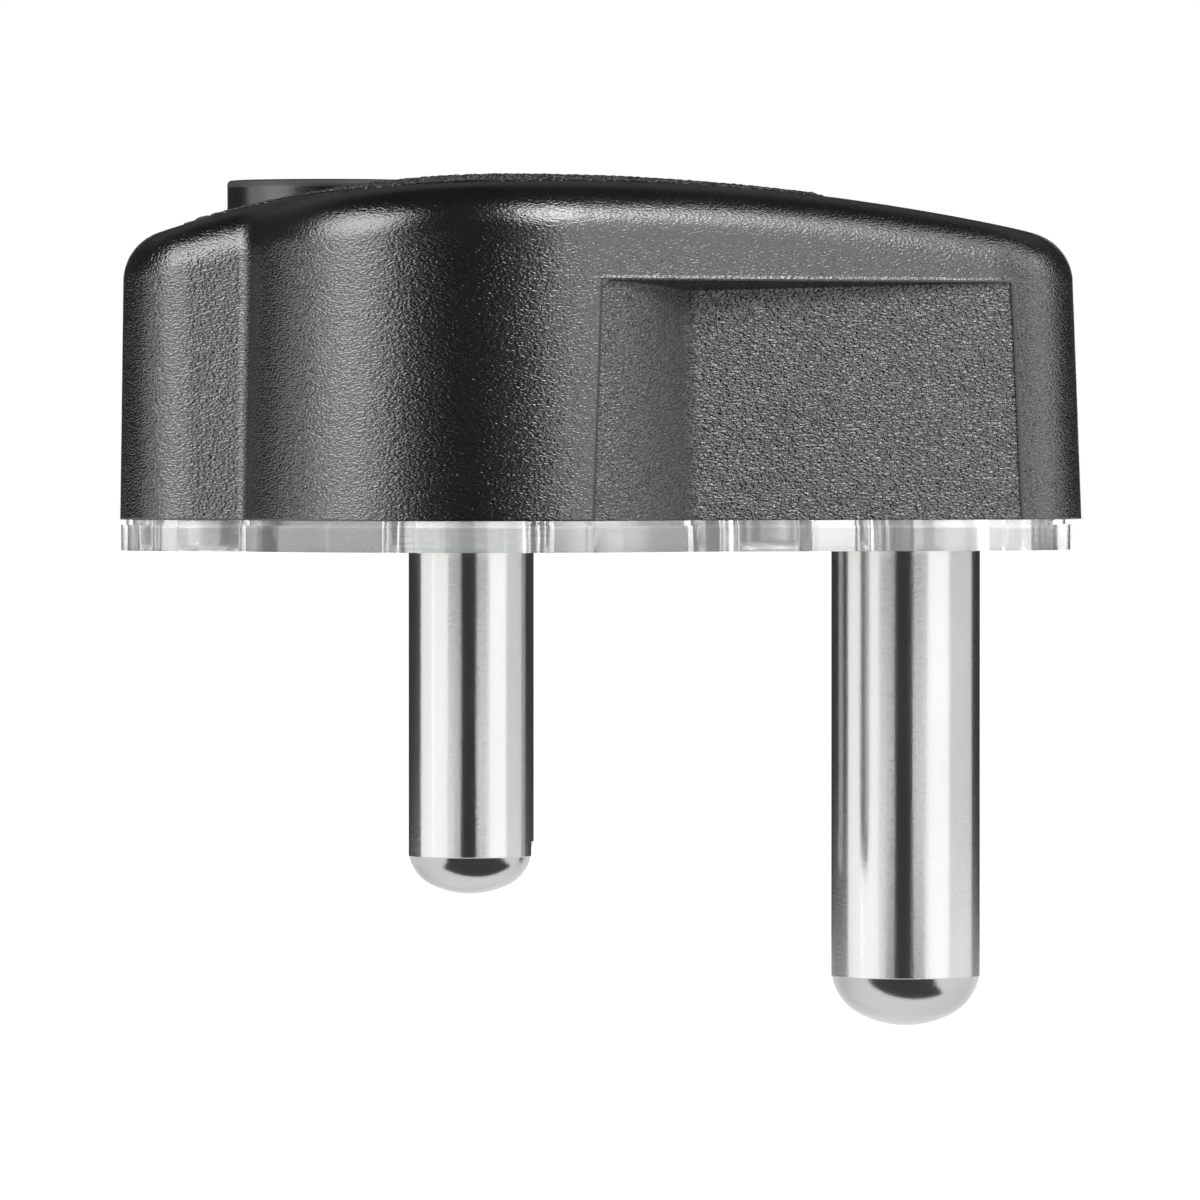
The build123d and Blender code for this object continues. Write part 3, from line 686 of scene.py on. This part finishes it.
paper = Finish("table_paper", Roughness=0.9, Specular_IOR_Level=0.0, Emission_Strength=1.0)
paper.set("Base Color", paper.blend(paper.noise(40.0), PAPER, PALE_PAPER))
table_x, table_y, _ = paper.axes()
away_squared = table_x * table_x + table_y * table_y
seen, mirrored = shown_white(paper)
glow = GLOW_CLOSE + away_squared.rise(*SHADOW_RING) * GLOW_ROUND
glow = glow + away_squared.rise(*FAR_RING) * GLOW_FAR
glow = glow * seen + mirrored * GLOW_MIRRORED
paper.set("Emission Color", paper.blend(glow, (0, 0, 0), (1, 1, 1)))
corners = [
    (-TABLE_SIDE, TABLE_FRONT, TABLE_Z),
    (TABLE_SIDE, TABLE_FRONT, TABLE_Z),
    (TABLE_SIDE, TABLE_BACK, TABLE_Z),
    (-TABLE_SIDE, TABLE_BACK, TABLE_Z),
]
sheet("table", corners, [(0, 1, 2, 3)], paper)

world = bpy.data.worlds.new("studio")
bpy.context.scene.world = world
world.use_nodes = True
sky = Sky(world.node_tree)
background = world.node_tree.nodes["Background"]
seen, mirrored = shown_white(sky)
sky.feed(background.inputs["Strength"], FILL + seen.most(mirrored) * (1 - FILL))
background.inputs["Color"].default_value = (1, 1, 1, 1)

# %% [markdown]
# ## Drapes
#
# In the photograph the plug's edges, its top and the part that faces the camera stay
# nearly black, because the studio around it is dark. Black drapes give that: a tall ring
# of cloth, closed above and below, and an apron of it on the table between the plug and
# the camera. Only mirrors see them. They leave the background and the fill light as they
# are.

# %% Drapes
DRAPE_R = 0.62
DRAPE_TOP = 0.90
DRAPE_BOTTOM = -0.40
DRAPE_FOLDS = 48
APRON_Z = TABLE_Z + 1 * MM
CLOTH, PALE_CLOTH = (0.05, 0.05, 0.05), (0.07, 0.07, 0.07)

cloth = Finish("drape_cloth", Roughness=1.0, Specular_IOR_Level=0.0)
cloth.set("Base Color", cloth.blend(cloth.noise(200.0), CLOTH, PALE_CLOTH))
ring = []
for level in (DRAPE_BOTTOM, DRAPE_TOP):
    for fold in range(DRAPE_FOLDS):
        turn = 2 * math.pi * fold / DRAPE_FOLDS
        ring.append((DRAPE_R * math.cos(turn), DRAPE_R * math.sin(turn), level))
around = [
    (fold, DRAPE_FOLDS + fold, DRAPE_FOLDS + (fold + 1) % DRAPE_FOLDS, (fold + 1) % DRAPE_FOLDS)
    for fold in range(DRAPE_FOLDS)
]
lid = tuple(range(DRAPE_FOLDS, 2 * DRAPE_FOLDS))
under = tuple(reversed(range(DRAPE_FOLDS)))
# The apron lies flat just over the table and widens from the plug towards the camera.
apron = [
    (-0.030, -0.027, APRON_Z),
    (0.050, -0.007, APRON_Z),
    (0.330, -0.600, APRON_Z),
    (-0.310, -0.600, APRON_Z),
]
flat = tuple(range(len(ring), len(ring) + len(apron)))
drapes = sheet("drapes", [*ring, *apron], [*around, lid, under, flat], cloth)
drapes.visible_camera = False
drapes.visible_diffuse = False
drapes.visible_transmission = False
drapes.visible_volume_scatter = False
drapes.visible_shadow = False

# %% [markdown]
# ## Light
#
# The pins are round mirrors and show the studio: a broad bright panel to the left, one to
# the right, and a narrow dark gap at the camera between them. The black cover shows the
# same panels as soft sheens on either side of each round wall. Two low inner panels end
# just under the base plate, so they widen the bright bands on the pins and stay out of the
# cover's sheens. Two low outer panels light the ends and the outer edges of the pins. A
# panel behind the plug is mirrored in the top, which is seen almost edge on. Lamps above
# light the cover: one to the left and two to the right make the brighter patches on its
# walls and along its rounded top edge, one beyond the earth end lights that end, and a
# faint one stands behind.

# %% Soft panels and lamps
def lamp(name, way, place, width, height, radiance):
    """A rectangular light that faces back along its way. One of radiance 1 looks white."""
    data = bpy.data.lights.new(name, "AREA")
    data.shape = "RECTANGLE"
    data.size = width
    data.size_y = height
    data.energy = radiance * math.pi * width * height
    made = bpy.data.objects.new(name, data)
    made.location = place
    made.rotation_euler = (-way).to_track_quat("-Z", "Y").to_euler()
    made.visible_camera = False
    bpy.context.collection.objects.link(made)
    print(name, "power:", round(data.energy, 2), "W")


def direction(turn_deg, lift_deg=0):
    """A way out from the plug, turned from the camera's side and positive to the right."""
    turn, lift = math.radians(turn_deg), math.radians(lift_deg)
    level = math.cos(lift)
    return Vector((math.sin(turn) * level, -math.cos(turn) * level, math.sin(lift)))


def soft_panel(name, turn_deg, distance, width, low, high, radiance):
    """An upright light that reaches from one height to another."""
    way = direction(turn_deg)
    place = way * distance + Vector((aim.x, 0, (low + high) / 2))
    lamp(name, way, place, width, high - low, radiance)


def high_lamp(name, turn_deg, lift_deg, distance, width, height, radiance):
    """A light above, aimed at the plug."""
    way = direction(turn_deg, lift_deg)
    lamp(name, way, way * distance + Vector((aim.x, 0, 0)), width, height, radiance)


LOW_TOP = -0.002

# name, turn in degrees, distance, width, low and high end in metres, radiance
soft_panel("left_panel", -56, 0.45, 0.26, TABLE_Z, 0.42, 1.45)
soft_panel("right_panel", 53, 0.45, 0.30, TABLE_Z, 0.42, 1.65)
soft_panel("left_inner_panel", -28, 0.50, 0.20, TABLE_Z, LOW_TOP, 1.25)
soft_panel("right_inner_panel", 23, 0.50, 0.20, TABLE_Z, LOW_TOP, 1.5)
soft_panel("left_outer_panel", -87, 0.45, 0.26, TABLE_Z, 0.05, 1.4)
soft_panel("right_outer_panel", 97, 0.45, 0.42, TABLE_Z, 0.04, 0.95)
soft_panel("back_panel", 180, 0.60, 0.25, 0.0, 0.10, 1.1)

# name, turn and lift in degrees, distance, width and height in metres, radiance
high_lamp("left_high_lamp", -65, 29, 0.60, 0.41, 0.44, 4.2)
high_lamp("right_high_lamp", 41, 42, 0.60, 0.28, 0.28, 8.0)
high_lamp("right_side_lamp", 80, 42, 0.60, 0.50, 0.18, 2.0)
high_lamp("right_end_lamp", 99, 18, 0.60, 0.36, 0.26, 2.3)
high_lamp("back_lamp", 180, 40, 0.60, 0.90, 0.30, 0.10)

# %% [markdown]
# ## Finish
#
# The view transform is set to Standard, so a colour shows as it is written.

bpy.context.scene.view_settings.view_transform = "Standard"
